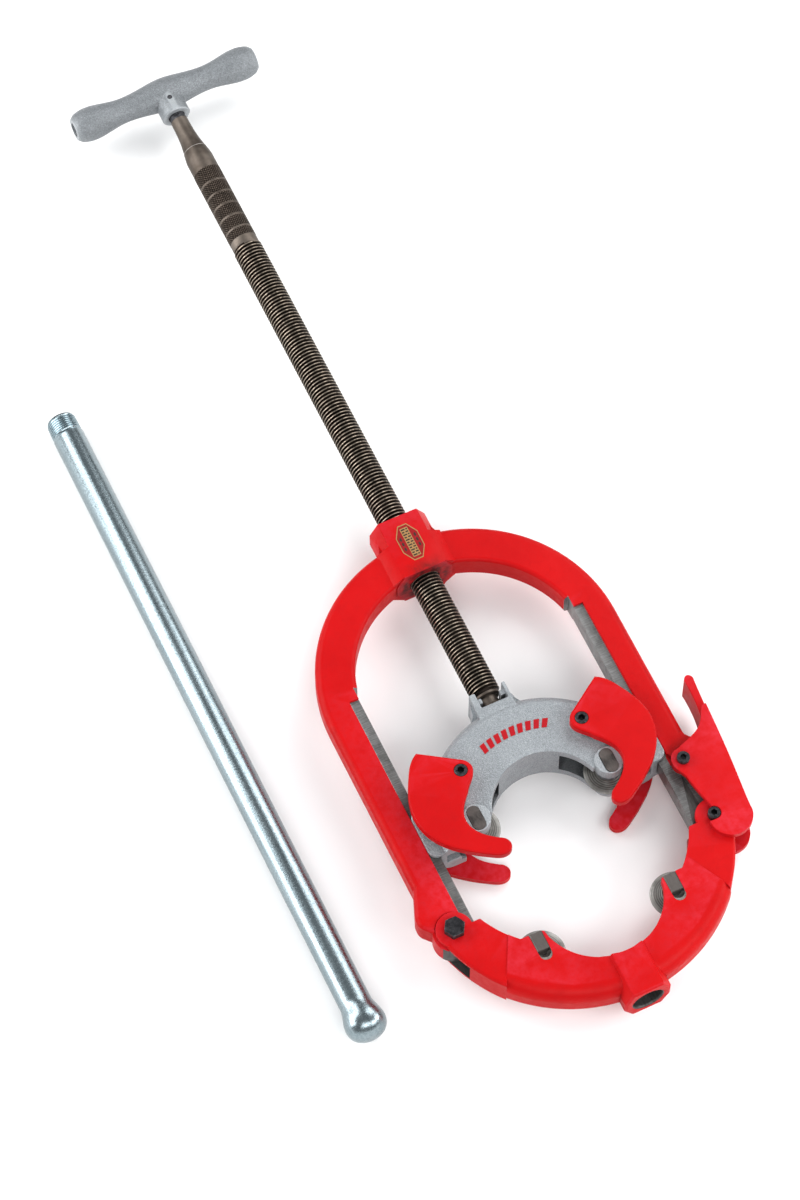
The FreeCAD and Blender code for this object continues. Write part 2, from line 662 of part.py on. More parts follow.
# ------------------------------------------------------------ pipe handle
def lay_down(shape):
    """Lay the handle beside the tool so the knob and the threaded end both touch the bench."""
    span = TUBE_Y[1] - TUBE_Y[0]
    angle = math.degrees(math.asin((KNOB_R - TUBE_R) / span))
    shape.rotate(V(0, TUBE_Y[0], 0), AXIS_X, -angle)
    shape.translate(V(HANDLE_X, 0, GROUND_Z + KNOB_R + 0.02))
    return shape


def handle_tube():
    y0, y1 = TUBE_Y
    body = lathe_y([(TUBE_BORE, y0 + 20), (TUBE_R, y0 + 20), (TUBE_R, y1 - 22), (THREAD_R, y1 - 21),
                    (THREAD_R, y1 - 1.5), (THREAD_R - 1.2, y1), (TUBE_BORE, y1)])
    return lay_down(body)


def handle_knob():
    y0 = TUBE_Y[0]
    pts = [(TUBE_BORE - 0.02, y0 + 45), (TUBE_BORE - 0.02, y0 + 20), (TUBE_R, y0 + 20)]
    swell = [(TUBE_R, y0 + 20), (TUBE_R + 1.4, y0 + 10), (KNOB_R, y0 - 4), (KNOB_R - 2.5, y0 - 15),
             (12.0, y0 - 21), (0, y0 - 23)]
    curve = Part.BSplineCurve()
    curve.interpolate([V(r, y, 0) for r, y in swell])
    loop = [V(0, y0 - 23, 0), V(0, y0 + 45, 0)] + [V(r, y, 0) for r, y in pts]
    lines = [Part.makeLine(a, b) for a, b in zip(loop, loop[1:])]
    wire = Part.Wire([curve.toShape()] + lines)
    return lay_down(Part.Face(wire).revolve(V(0, 0, 0), AXIS_Y, 360))


# ------------------------------------------------------------ all nodes
def nodes():
    out = {
        "upper_frame": [upper_frame()],
        "hub_label": [hub_label()],
        "latch_pivot_screw": [latch_pivot_screw()],
        "latch": [latch()],
        "lower_frame": [lower_frame()],
        "hinge_bolt": [hinge_bolt()],
        "catch_pin": [catch_pin()],
        "lower_pin_left": [lower_pin(-1)],
        "lower_pin_right": [lower_pin(1)],
        "slide_block": [slide_block()],
        "slide_mark": [slide_mark()],
        "upper_pin_left": [upper_pin(-1)],
        "upper_pin_right": [upper_pin(1)],
        "guide_screws_front": [guide_screw(-1, True), guide_screw(1, True)],
        "guide_screws_back": [guide_screw(-1, False), guide_screw(1, False)],
        "feed_screw": [feed_screw()],
        "t_handle": [t_handle()],
        "t_handle_pin": [t_handle_pin()],
        "handle_tube": [handle_tube()],
        "handle_knob": [handle_knob()],
    }
    for side, name in ((-1, "left"), (1, "right")):
        out["guide_front_" + name] = [guide(side, True)]
        out["guide_back_" + name] = [guide(side, False)]
        out["wheel_upper_" + name] = [cutter_wheel(side * WHEEL_X, WHEEL_Y)]
        out["wheel_lower_" + name] = [cutter_wheel(side * WHEEL_X, -WHEEL_Y)]
    return out


def main():
    os.makedirs("parts", exist_ok=True)
    for name, shapes in sorted(nodes().items()):
        solids = [s for shape in shapes for s in shape.Solids]
        shape = solids[0] if len(solids) == 1 else Part.makeCompound(solids)
        shape.exportStep("parts/" + name + ".step")
        b = shape.BoundBox
        print("%-20s solids %d valid %s vol %.1f cm3  x %.1f..%.1f y %.1f..%.1f z %.1f..%.1f" % (
            name, len(solids), shape.isValid(), shape.Volume / 1000,
            b.XMin, b.XMax, b.YMin, b.YMax, b.ZMin, b.ZMax))


main()
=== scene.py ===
import math

import bmesh
import bpy
from mathutils import Matrix, Vector
from mathutils.bvhtree import BVHTree


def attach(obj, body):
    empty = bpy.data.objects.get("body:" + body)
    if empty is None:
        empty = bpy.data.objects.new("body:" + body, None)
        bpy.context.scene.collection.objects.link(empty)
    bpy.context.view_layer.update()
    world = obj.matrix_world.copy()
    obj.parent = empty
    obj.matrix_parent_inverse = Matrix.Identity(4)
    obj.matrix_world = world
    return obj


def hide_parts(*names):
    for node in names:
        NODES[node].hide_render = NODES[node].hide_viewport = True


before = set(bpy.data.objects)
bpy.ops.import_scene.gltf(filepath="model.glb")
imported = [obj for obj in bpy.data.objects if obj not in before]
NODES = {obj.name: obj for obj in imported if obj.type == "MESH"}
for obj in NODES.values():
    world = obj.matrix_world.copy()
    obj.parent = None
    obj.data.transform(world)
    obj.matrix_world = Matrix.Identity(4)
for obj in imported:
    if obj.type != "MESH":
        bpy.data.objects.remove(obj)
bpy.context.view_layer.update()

# Hinged pipe cutter with a loose tube handle. Metres, in the CAD frame:
# +X right, +Y along the feed screw, +Z out of the front face.

MM = 0.001


# ------------------------------------------------------------ node graph helpers
class Graph:
    """A Principled material with short names for the nodes it uses."""

    def __init__(self, name):
        self.mat = bpy.data.materials.new(name)
        self.mat.use_nodes = True
        self.nodes = self.mat.node_tree.nodes
        self.links = self.mat.node_tree.links
        self.bsdf = self.nodes["Principled BSDF"]
        self.coord = self.nodes.new("ShaderNodeTexCoord").outputs["Object"]

    def put(self, socket, value):
        if hasattr(value, "links"):
            self.links.new(value, socket)
        else:
            socket.default_value = value

    def set(self, **values):
        for key, value in values.items():
            self.put(self.bsdf.inputs[key.replace("_", " ")], value)

    def stretch(self, x, y, z):
        n = self.nodes.new("ShaderNodeMapping")
        self.links.new(self.coord, n.inputs["Vector"])
        n.inputs["Scale"].default_value = (x, y, z)
        return n.outputs["Vector"]

    def noise(self, scale, detail, rough, vector=None):
        n = self.nodes.new("ShaderNodeTexNoise")
        self.links.new(vector or self.coord, n.inputs["Vector"])
        n.inputs["Scale"].default_value = scale
        n.inputs["Detail"].default_value = detail
        n.inputs["Roughness"].default_value = rough
        return n.outputs["Fac"]

    def cells(self, scale):
        n = self.nodes.new("ShaderNodeTexVoronoi")
        self.links.new(self.coord, n.inputs["Vector"])
        n.inputs["Scale"].default_value = scale
        return n.outputs["Distance"]

    def math(self, kind, a, b=0.0):
        n = self.nodes.new("ShaderNodeMath")
        n.operation = kind
        self.put(n.inputs[0], a)
        self.put(n.inputs[1], b)
        return n.outputs[0]

    def span(self, value, low, high, to_low=0.0, to_high=1.0):
        n = self.nodes.new("ShaderNodeMapRange")
        self.put(n.inputs["Value"], value)
        for key, v in (("From Min", low), ("From Max", high), ("To Min", to_low), ("To Max", to_high)):
            n.inputs[key].default_value = v
        return n.outputs["Result"]

    def mix(self, fac, a, b):
        n = self.nodes.new("ShaderNodeMix")
        n.data_type = "RGBA"
        self.put(n.inputs[0], fac)
        self.put(n.inputs[6], a)
        self.put(n.inputs[7], b)
        return n.outputs[2]

    def xyz(self):
        n = self.nodes.new("ShaderNodeSeparateXYZ")
        self.links.new(self.coord, n.inputs[0])
        return n.outputs[0], n.outputs[1], n.outputs[2]

    def length(self, a, b):
        return self.math("SQRT", self.math("ADD", self.math("MULTIPLY", a, a), self.math("MULTIPLY", b, b)))

    def radius_y(self):
        """Distance from the Y axis."""
        x, _, z = self.xyz()
        return self.length(x, z)

    def edges(self, low, high):
        """1 on convex edges when low is below high, 1 in hollows when it is above."""
        g = self.nodes.new("ShaderNodeNewGeometry")
        return self.span(g.outputs["Pointiness"], low, high)

    def bump(self, *layers):
        """Each layer is (height, distance in metres)."""
        normal = None
        for height, distance in layers:
            n = self.nodes.new("ShaderNodeBump")
            n.inputs["Strength"].default_value = 1.0
            n.inputs["Distance"].default_value = distance
            self.links.new(height, n.inputs["Height"])
            if normal:
                self.links.new(normal, n.inputs["Normal"])
            normal = n.outputs["Normal"]
        self.links.new(normal, self.bsdf.inputs["Normal"])


def rgb(r, g, b):
    return (r, g, b, 1.0)


# ------------------------------------------------------------ materials
# Grease on the hub, in metres: it fades in and out along Y, and fades outward from the screw's axis.
GREASE_FROM_Y = (0.30, 0.31)
GREASE_TO_Y = (0.3625, 0.3505)
GREASE_REACH = (0.036, 0.024)


def red_paint(name, grain, greasy=False):
    """Glossy enamel over a slightly lumpy casting, lighter on convex edges as wear and painted highlight,
    darker in hollows as painted shade, with dark specks.
    A greasy one has grease where the feed screw leaves the hub."""
    g = Graph(name)
    broad = g.noise(18, 3, 0.55)
    mid = g.noise(130, 4, 0.6)
    fine = g.noise(900, 2, 0.6)
    color = g.mix(g.span(broad, 0.35, 0.65), rgb(0.410, 0.0030, 0.0040), rgb(0.460, 0.0040, 0.0050))
    color = g.mix(g.span(mid, 0.52, 0.78, 0, 0.4), color, rgb(0.350, 0.0030, 0.0045))
    # Convex edges lighter, patchy with the mid noise: partly wear, partly painted highlight.
    wear_and_highlight = g.math("MULTIPLY", g.edges(0.515, 0.60), g.span(mid, 0.35, 0.65, 0.25, 1.0))
    color = g.mix(g.math("MULTIPLY", wear_and_highlight, 0.55), color, rgb(0.62, 0.045, 0.075))
    # Painted shade: darker red in hollows and creases.
    hollow_shade = g.math("MULTIPLY", g.edges(0.485, 0.44), 0.55)
    color = g.mix(hollow_shade, color, rgb(0.16, 0.004, 0.006))
    specks = g.span(g.noise(210, 6, 0.7), 0.750, 0.765)
    color = g.mix(specks, color, rgb(0.05, 0.012, 0.012))
    if greasy:
        _, y, _ = g.xyz()
        near = g.math("MULTIPLY", g.span(y, *GREASE_TO_Y), g.span(g.radius_y(), *GREASE_REACH))
        near = g.math("MULTIPLY", near, g.span(y, *GREASE_FROM_Y))
        patchy = g.math("MULTIPLY", near, g.span(mid, 0.34, 0.60, 0.35, 0.95))
        color = g.mix(patchy, color, rgb(0.050, 0.010, 0.009))
    g.set(Base_Color=color, Roughness=g.span(mid, 0.3, 0.7, 0.36, 0.50), IOR=1.35, Specular_IOR_Level=0.14)
    g.bump((g.noise(55, 2, 0.4), 0.00045 * grain), (mid, 0.00022 * grain), (fine, 0.00008 * grain))
    return g.mat


def bare_steel(name, dark, light, lines, rough, metal):
    """Machined bare metal with stains and cutter lines, finest along the axes with the largest numbers."""
    g = Graph(name)
    streak = g.noise(1.0, 4, 0.6, g.stretch(*lines))
    stain = g.noise(60, 5, 0.65)
    color = g.mix(g.span(streak, 0.3, 0.7), rgb(*dark), rgb(*light))
    color = g.mix(g.span(stain, 0.48, 0.72, 0, 0.7), color, rgb(*[c * 0.45 for c in dark]))
    color = g.mix(g.math("MULTIPLY", g.edges(0.52, 0.60), 0.5), color, rgb(*[min(1, c * 1.7) for c in light]))
    g.set(Base_Color=color, Metallic=metal, Roughness=g.span(stain, 0.3, 0.7, *rough))
    g.bump((streak, 0.00012), (stain, 0.0002))
    return g.mat


def silver_casting(name, gain, mottle):
    """Grainy aluminium paint on a sand casting."""
    g = Graph(name)
    grain = g.noise(1300, 2, 0.7)
    pits = g.cells(850)
    mid = g.noise(150, 4, 0.6)
    broad = g.noise(25, 3, 0.5)
    low = rgb(0.150 * gain, 0.164 * gain, 0.176 * gain)
    high = rgb(0.370 * gain, 0.395 * gain, 0.415 * gain)
    color = g.mix(g.span(grain, 0.33, 0.67), low, high)
    color = g.mix(g.span(broad, 0.35, 0.7, 0, 0.30), color, rgb(0.20 * gain, 0.215 * gain, 0.23 * gain))
    color = g.mix(g.span(mid, 0.60, 0.74, 0, 0.5), color, rgb(0.12 * gain, 0.125 * gain, 0.13 * gain))
    coarse = g.noise(560, 3, 0.65)
    color = g.mix(g.span(coarse, 0.50, 0.66, 0, mottle), color, rgb(0.10 * gain, 0.108 * gain, 0.115 * gain))
    color = g.mix(g.span(coarse, 0.48, 0.34, 0, mottle), color, rgb(0.52 * gain, 0.55 * gain, 0.57 * gain))
    color = g.mix(g.math("MULTIPLY", g.edges(0.515, 0.60), 0.5), color, rgb(0.50, 0.53, 0.55))
    g.set(Base_Color=color, Metallic=0.35, Roughness=g.span(mid, 0.3, 0.7, 0.36, 0.52))
    g.bump((mid, 0.0007), (pits, 0.00030), (grain, 0.00014))
    return g.mat


def screw_steel(name, crest, dark, light, crest_wear_and_highlight):
    """Dark oiled steel, lighter where its radius passes the two crest values: wear and painted highlight on
    the crests.
    """
    g = Graph(name)
    r = g.radius_y()
    scuff = g.noise(420, 4, 0.6)
    broad = g.noise(40, 3, 0.6)
    # Crests lighter: wear and painted highlight.
    wear_and_highlight = g.math("MULTIPLY", g.span(r, crest[0], crest[1]), g.span(scuff, 0.32, 0.60, 0.15, 1.0))
    color = g.mix(g.span(broad, 0.35, 0.7), rgb(*dark), rgb(*light))
    color = g.mix(wear_and_highlight, color, rgb(*crest_wear_and_highlight))
    g.set(Base_Color=color, Metallic=0.85, Roughness=g.span(wear_and_highlight, 0, 1, 0.50, 0.32), Specular_IOR_Level=0.2)
    g.bump((scuff, 0.00012), (g.noise(1500, 2, 0.5), 0.00004))
    return g.mat


def knurl_steel(name):
    """Dark steel with the tips and edges of the knurl lighter, as wear and painted highlight."""
    g = Graph(name)
    scuff = g.noise(500, 4, 0.6)
    broad = g.noise(50, 3, 0.6)
    wear_and_highlight = g.math("MULTIPLY", g.edges(0.50, 0.60), g.span(scuff, 0.3, 0.6, 0.2, 1.0))
    color = g.mix(g.span(broad, 0.35, 0.7), rgb(0.010, 0.0075, 0.006), rgb(0.030, 0.022, 0.018))
    tips = g.math("MULTIPLY", g.span(g.radius_y(), 0.0149, 0.0153), g.span(scuff, 0.35, 0.6, 0.3, 1.0))
    color = g.mix(g.math("MAXIMUM", g.math("MULTIPLY", wear_and_highlight, 0.4), g.math("MULTIPLY", tips, 0.85)), color,
                  rgb(0.19, 0.150, 0.118))
    g.set(Base_Color=color, Metallic=0.8, Roughness=0.42, Specular_IOR_Level=0.2)
    g.bump((scuff, 0.00010))
    return g.mat


def black_oxide(name):
    """Black screws and bolts with scuffed edges; also painted shade on the feed screw's end in the tee."""
    g = Graph(name)
    scuff = g.noise(350, 4, 0.65)
    color = g.mix(g.math("MULTIPLY", g.edges(0.50, 0.62), g.span(scuff, 0.3, 0.7)), rgb(0.006, 0.006, 0.007),
                  rgb(0.10, 0.10, 0.11))
    color = g.mix(g.span(scuff, 0.62, 0.75, 0, 0.5), color, rgb(0.035, 0.032, 0.030))
    rough = g.span(scuff, 0.3, 0.7, 0.28, 0.5)
    g.set(Base_Color=color, Metallic=0.4, Roughness=rough, Specular_IOR_Level=0.2)
    g.bump((scuff, 0.00012))
    return g.mat


def zinc(name, gain):
    """Zinc plate over rolled tube: fine speckle, painted glints, long faint streaks and a few stains."""
    g = Graph(name)
    streak = g.noise(1.0, 5, 0.6, g.stretch(420, 9, 420))
    broad = g.noise(1.0, 3, 0.5, g.stretch(60, 7, 60))
    spots = g.noise(420, 4, 0.7)
    glint = g.noise(900, 2, 0.7)
    low = rgb(0.220 * gain, 0.278 * gain, 0.302 * gain)
    high = rgb(0.335 * gain, 0.402 * gain, 0.430 * gain)
    color = g.mix(g.span(streak, 0.3, 0.7), low, high)
    color = g.mix(g.span(broad, 0.5, 0.75, 0, 0.45), color, rgb(0.18 * gain, 0.235 * gain, 0.262 * gain))
    color = g.mix(g.span(spots, 0.55, 0.70, 0, 0.5), color, rgb(0.12 * gain, 0.152 * gain, 0.172 * gain))
    # Painted glints: small light specks.
    color = g.mix(g.span(glint, 0.60, 0.70, 0, 0.5), color, rgb(0.56 * gain, 0.63 * gain, 0.66 * gain))
    g.set(Base_Color=color, Metallic=1.0, Roughness=g.span(spots, 0.3, 0.7, 0.19, 0.34))
    g.bump((streak, 0.00007), (broad, 0.0003), (spots, 0.00012), (glint, 0.00004))
    return g.mat


def wheel_steel(name):
    """Ground disc with turning rings, darker toward the hub."""
    g = Graph(name)
    place = g.nodes.new("ShaderNodeSeparateXYZ")
    g.links.new(g.nodes.new("ShaderNodeTexCoord").outputs["Generated"], place.inputs[0])
    dx = g.math("SUBTRACT", place.outputs[0], 0.5)
    dy = g.math("SUBTRACT", place.outputs[1], 0.5)
    r = g.length(dx, dy)
    turned = g.math("SINE", g.math("MULTIPLY", r, 150.0))
    stain = g.noise(90, 4, 0.6)
    color = g.mix(g.span(turned, -1, 1), rgb(0.055, 0.052, 0.048), rgb(0.175, 0.168, 0.155))
    color = g.mix(g.span(r, 0.40, 0.47), color, rgb(0.26, 0.255, 0.24))
    color = g.mix(g.span(r, 0.26, 0.20, 0, 0.8), color, rgb(0.035, 0.031, 0.028))
    color = g.mix(g.span(stain, 0.45, 0.70, 0, 0.6), color, rgb(0.040, 0.036, 0.032))
    g.set(Base_Color=color, Metallic=0.6, Roughness=g.span(stain, 0.3, 0.7, 0.32, 0.48))
    g.bump((turned, 0.00006), (stain, 0.00015))
    return g.mat


def plain_print(name, color, rough=0.35):
    """Printed sticker film with a slight mottle."""
    g = Graph(name)
    mottle = g.noise(600, 3, 0.6)
    dark = rgb(*[c * 0.8 for c in color])
    mottled = g.mix(g.span(mottle, 0.3, 0.7), dark, rgb(*color))
    g.set(Base_Color=mottled, Roughness=rough, Specular_IOR_Level=0.15)
    g.bump((mottle, 0.00003))
    return g.mat


RED = red_paint("red_cast_paint", 1.0, True)
RED_PLATE = red_paint("red_plate_paint", 0.35)
RAIL = bare_steel("machined_rail", (0.085, 0.082, 0.078), (0.20, 0.20, 0.20), (70, 900, 70), (0.3, 0.5), 0.6)
# A darker copy of the machined steel: painted shade for slots, windows and the handle socket.
RAIL_SHADED = bare_steel("milled_shaded", (0.035, 0.032, 0.030), (0.085, 0.083, 0.08), (300, 60, 300),
                       (0.35, 0.55), 0.6)
SILVER = silver_casting("silver_casting", 0.98, 0.16)
SILVER_TEE = silver_casting("silver_tee", 0.72, 0.26)
SCREW = screw_steel("screw_steel", (0.0154, 0.0160), (0.008, 0.006, 0.0048), (0.024, 0.0175, 0.014),
                    (0.40, 0.33, 0.26))
SHANK = screw_steel("shank_steel", (0.030, 0.040), (0.075, 0.060, 0.049), (0.155, 0.130, 0.110),
                    (0.3, 0.3, 0.3))
KNURL = knurl_steel("knurl_steel")
BLACK = black_oxide("black_oxide")
PIN = bare_steel("pin_steel", (0.027, 0.023, 0.021), (0.082, 0.071, 0.065), (420, 160, 420),
                 (0.34, 0.52), 0.5)
WHEEL = wheel_steel("wheel_steel")
# A darker copy of the silver casting: painted shade inside the slide's hollows.
SILVER_SHADED = silver_casting("silver_unlit", 0.36, 0.3)
# Chipped rims of the pin slots; also the painted highlight ring on the feed screw's taper.
CHIPS_AND_HIGHLIGHT = bare_steel("chipped_rim_and_highlight", (0.14, 0.12, 0.11), (0.28, 0.26, 0.24), (400, 400, 400), (0.4, 0.6), 0.3)
ZINC = zinc("zinc_plate", 0.84)
ZINC_CUT = zinc("zinc_thread", 1.15)
GOLD = plain_print("print_gold", (0.34, 0.19, 0.072))
INK = plain_print("print_black", (0.03, 0.025, 0.02))
FILM = plain_print("print_red", (0.26, 0.008, 0.010))
MARK = plain_print("mark_red", (0.37, 0.004, 0.009), 0.5)


# ------------------------------------------------------------ mesh helpers
THREAD_MERGE = 1e-7  # metres


def new_piece(name, bm, mats, body, node, smooth):
    """Object made from bm, which rides on body and stands for the CAD node. Edges over smooth degrees stay
    sharp, and 0 leaves them all smooth."""
    me = bpy.data.meshes.new(name)
    bm.to_mesh(me)
    bm.free()
    ob = bpy.data.objects.new(name, me)
    bpy.context.scene.collection.objects.link(ob)
    for m in mats:
        me.materials.append(m)
    me.shade_smooth()
    if smooth:
        me.set_sharp_from_angle(angle=math.radians(smooth))
    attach(ob, body)
    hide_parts(node)
    return ob


def ring_vert(bm, r, angle, y):
    """Vertex at a radius and an angle about the Y axis, in mm."""
    return bm.verts.new((r * MM * math.sin(angle), y * MM, r * MM * math.cos(angle)))


def lathe(bm, profile, steps=72, mat=0):
    """Turn (radius, y) points, in mm, about the Y axis. A radius of 0 closes the shape at an end."""
    rings = []
    for r, y in profile:
        if r == 0:
            rings.append([bm.verts.new((0, y * MM, 0))])
        else:
            rings.append([ring_vert(bm, r, 2 * math.pi * i / steps, y) for i in range(steps)])
    faces = []
    for a, b in zip(rings, rings[1:]):
        for i in range(steps):
            j = (i + 1) % steps
            if len(a) == 1:
                faces.append(bm.faces.new((a[0], b[j], b[i])))
            elif len(b) == 1:
                faces.append(bm.faces.new((a[i], a[j], b[0])))
            else:
                faces.append(bm.faces.new((a[i], a[j], b[j], b[i])))
    for f in faces:
        f.material_index = mat


def helix(bm, y0, y1, pitch, root, crest, steps=48, mat=0, fade=0.8, taper=0.0):
    """A right-hand screw thread between y0 and y1, in mm. It fades out over fade pitches at both ends, and
    its radius drops by taper for each mm of length."""
    # Share of a pitch, with 0 at the root and 1 at the crest.
    shape = ((0.0, 0), (0.16, 0), (0.46, 1), (0.62, 1))
    count = int(steps * ((y1 - y0) / pitch + 1))
    grid = []
    for i in range(count + 1):
        a = 2 * math.pi * i / steps
        start = y0 - pitch + pitch * i / steps
        row = []
        for s, up in shape:
            y = min(max(start + s * pitch, y0), y1)
            ease = min(1.0, min(y - y0, y1 - y) / (fade * pitch))
            drop = taper * (y - y0)
            r = root + (crest - root) * up * ease - drop
            row.append(ring_vert(bm, r, a, y))
        grid.append(row)
    made = []
    for i in range(count):
        for j in range(3):
            made.append((grid[i][j], grid[i + 1][j], grid[i + 1][j + 1], grid[i][j + 1]))
        if i + 1 + steps <= count:
            made.append((grid[i][3], grid[i + 1][3], grid[i + 1 + steps][0], grid[i + steps][0]))
    for quad in made:
        bm.faces.new(quad).material_index = mat


def knurled(bm, y0, y1, r, depth, rings, mat, ring_mat, steps=280, rows_per_mm=2.2, teeth=32):
    """Diamond knurling between y0 and y1, in mm, with a smooth ring at each y in rings."""
    ring_half, ring_drop, ring_look_half = 1.2, 0.15, 1.3
    n = int((y1 - y0) * rows_per_mm)
    grid = []
    pitch = 2 * math.pi * r / teeth
    for k in range(n + 1):
        y = y0 + (y1 - y0) * k / n
        row = []
        bare = min(abs(y - c) for c in rings) < ring_half
        for i in range(steps):
            u = i / steps * teeth
            v = (y - y0) / pitch
            a = abs((u + v) % 1.0 - 0.5) * 2
            b = abs((u - v) % 1.0 - 0.5) * 2
            rise = min(1.0, 1.6 * min(a, b))
            radius = r - ring_drop if bare else r - depth + depth * rise
            row.append(ring_vert(bm, radius, 2 * math.pi * i / steps, y))
        grid.append(row)
    for k, (a, b) in enumerate(zip(grid, grid[1:])):
        y = y0 + (y1 - y0) * (k + 0.5) / n
        smooth_ring = min(abs(y - c) for c in rings) < ring_look_half
        for i in range(steps):
            j = (i + 1) % steps
            f = bm.faces.new((a[i], a[j], b[j], b[i]))
            f.material_index = ring_mat if smooth_ring else mat
    for ring in (list(reversed(grid[0])), grid[-1]):
        bm.faces.new(ring).material_index = mat


def clean(bm, merge, shortest):
    """Join vertices closer than merge and take out edges under shortest, in metres."""
    bmesh.ops.remove_doubles(bm, verts=bm.verts, dist=merge)
    bmesh.ops.dissolve_degenerate(bm, edges=bm.edges, dist=shortest)


def close_and_clean(bm):
    clean(bm, THREAD_MERGE, THREAD_MERGE)
    open_edges = [e for e in bm.edges if e.is_boundary]
    if open_edges:
        bmesh.ops.holes_fill(bm, edges=open_edges, sides=0)
    bmesh.ops.recalc_face_normals(bm, faces=bm.faces)


def prism(bm, points, z0, z1, mat=0):
    """Plate with the given (x, y) outline in mm, counter-clockwise."""
    low = [bm.verts.new((x * MM, y * MM, z0 * MM)) for x, y in points]
    high = [bm.verts.new((x * MM, y * MM, z1 * MM)) for x, y in points]
    n = len(points)
    faces = [bm.faces.new(list(reversed(low))), bm.faces.new(high)]
    faces += [bm.faces.new((low[i], low[(i + 1) % n], high[(i + 1) % n], high[i])) for i in range(n)]
    for f in faces:
        f.material_index = mat


def even_normals(me, limit=42.0):
    """Corner normals weighted by face size, so broad flat faces stay flat beside their rounded edges."""
    cos_limit = math.cos(math.radians(limit))
    around = [[] for _ in me.vertices]
    for p in me.polygons:
        for v in p.vertices:
            around[v].append(p.index)
    normals = [p.normal.copy() for p in me.polygons]
    areas = [p.area for p in me.polygons]
    out = [None] * len(me.loops)
    for p in me.polygons:
        mine = normals[p.index]
        for li, v in zip(p.loop_indices, p.vertices):
            total = Vector((0, 0, 0))
            for q in around[v]:
                if normals[q].dot(mine) > cos_limit:
                    total += normals[q] * (areas[q] + 1e-12)
            out[li] = total.normalized() if total.length > 0 else mine
    me.normals_split_custom_set(out)


CRISP_ANGLE = 28  # degrees between the faces of an edge that is rounded
SHORTEST_EDGE = 1e-5
# The next three count in widths of the rounding.
ROOM_NEEDED = 2.2
KEEP_OFF = 2.0
STRAY = 0.75


def edge_room(edge):
    """How far the narrower of the two faces reaches from the edge."""
    a, b = (v.co for v in edge.verts)
    along = (b - a).normalized()
    reach = [max((v.co - a - along * (v.co - a).dot(along)).length for v in f.verts) for f in edge.link_faces]
    return min(reach)


def near_edge(point, edge, distance):
    a, b = (v.co for v in edge.verts)
    along = b - a
    t = min(max((point - a).dot(along) / along.length_squared, 0.0), 1.0)
    return (point - a - along * t).length < distance


def crisp_edges(bm, width, trouble):
    """Edges sharp enough to round, with room on both faces, and away from the places in trouble."""
    found = []
    for e in bm.edges:
        if not e.is_manifold or e.calc_length() < SHORTEST_EDGE:
            continue
        if e.calc_face_angle(0.0) < math.radians(CRISP_ANGLE) or edge_room(e) < ROOM_NEEDED * width * MM:
            continue
        if not any(near_edge(c, e, KEEP_OFF * width * MM) for c in trouble):
            found.append(e)
    return found


def rounded_mesh(source, width, rule, trouble):
    """Copy of source with its crisp edges rounded, and each face's look set by the rule."""
    bm = source.copy()
    for f in bm.faces:
        c = f.calc_center_median()
        f.material_index = rule(c.x / MM, c.y / MM, c.z / MM, f.normal) if rule else 0
        f.smooth = True
    bmesh.ops.dissolve_limit(bm, angle_limit=math.radians(0.7), verts=bm.verts, edges=bm.edges,
                             delimit={"MATERIAL"})
    bmesh.ops.bevel(bm, geom=crisp_edges(bm, width, trouble), offset=width * MM, offset_type="OFFSET",
                    segments=2, profile=0.5, affect="EDGES", clamp_overlap=False, material=-1)
    clean(bm, 1e-6, 1e-6)
    bmesh.ops.triangulate(bm, faces=bm.faces)
    bmesh.ops.recalc_face_normals(bm, faces=bm.faces)
    return bm


def bad_faces(bm, original, width):
    """Middles of faces that stray from the original surface, or lie on it and face the wrong way."""
    flush, tiny, wrong_way = 2e-4, 2e-9, -0.2
    found = []
    for f in bm.faces:
        c = f.calc_center_median()
        _, normal, _, far = original.find_nearest(c)
        turned = f.calc_area() > tiny and far < flush and f.normal.dot(normal) < wrong_way
        if far > STRAY * width * MM or turned:
            found.append(c.copy())
    return found


def soften(node, body, mats, width, rule=None):
    """Rebuild a casting from its CAD faces with its crisp edges rounded by width, in mm, except where they
    crowd together. It tries again without the edges near bad faces, until none are left or their number stays
    the same, so a few can remain."""
    source = bmesh.new()
    source.from_mesh(NODES[node].data)
    clean(source, 3e-6, 4e-6)
    original = BVHTree.FromBMesh(source)
    trouble = []
    last = None
    while True:
        bm = rounded_mesh(source, width, rule, trouble)
        bad = bad_faces(bm, original, width)
        if not bad or len(bad) == last:
            break
        last = len(bad)
        trouble += bad
        bm.free()
    source.free()
    ob = new_piece(node + "_cast", bm, mats, body, node, 0)
    even_normals(ob.data)
    return ob


# ------------------------------------------------------------ feed screw
# Millimetres: y values along the screw, then radii.
COLLAR_START = 170.0
COLLAR_END = 189.5
COLLAR_NECK_END = 199.5
THREAD_START, THREAD_END = 202.5, 789.0
KNURL_START, KNURL_END = 797.2, 891.2
KNURL_RINGS = [808.5 + 16.0 * k for k in range(5)]
TAPER_START = 908.5
TAPER_LINE = 921.6
TEE_END_START, TEE_END_END = 963.3, 996.0
SCREW_PITCH = 4.0
ROOT_R, CREST_R = 13.7, 16.0
COLLAR_R, NECK_R, SHANK_R, TEE_END_R = 14.0, 9.5, 15.0, 9.0
KNURL_R, KNURL_DEPTH = 15.3, 0.9


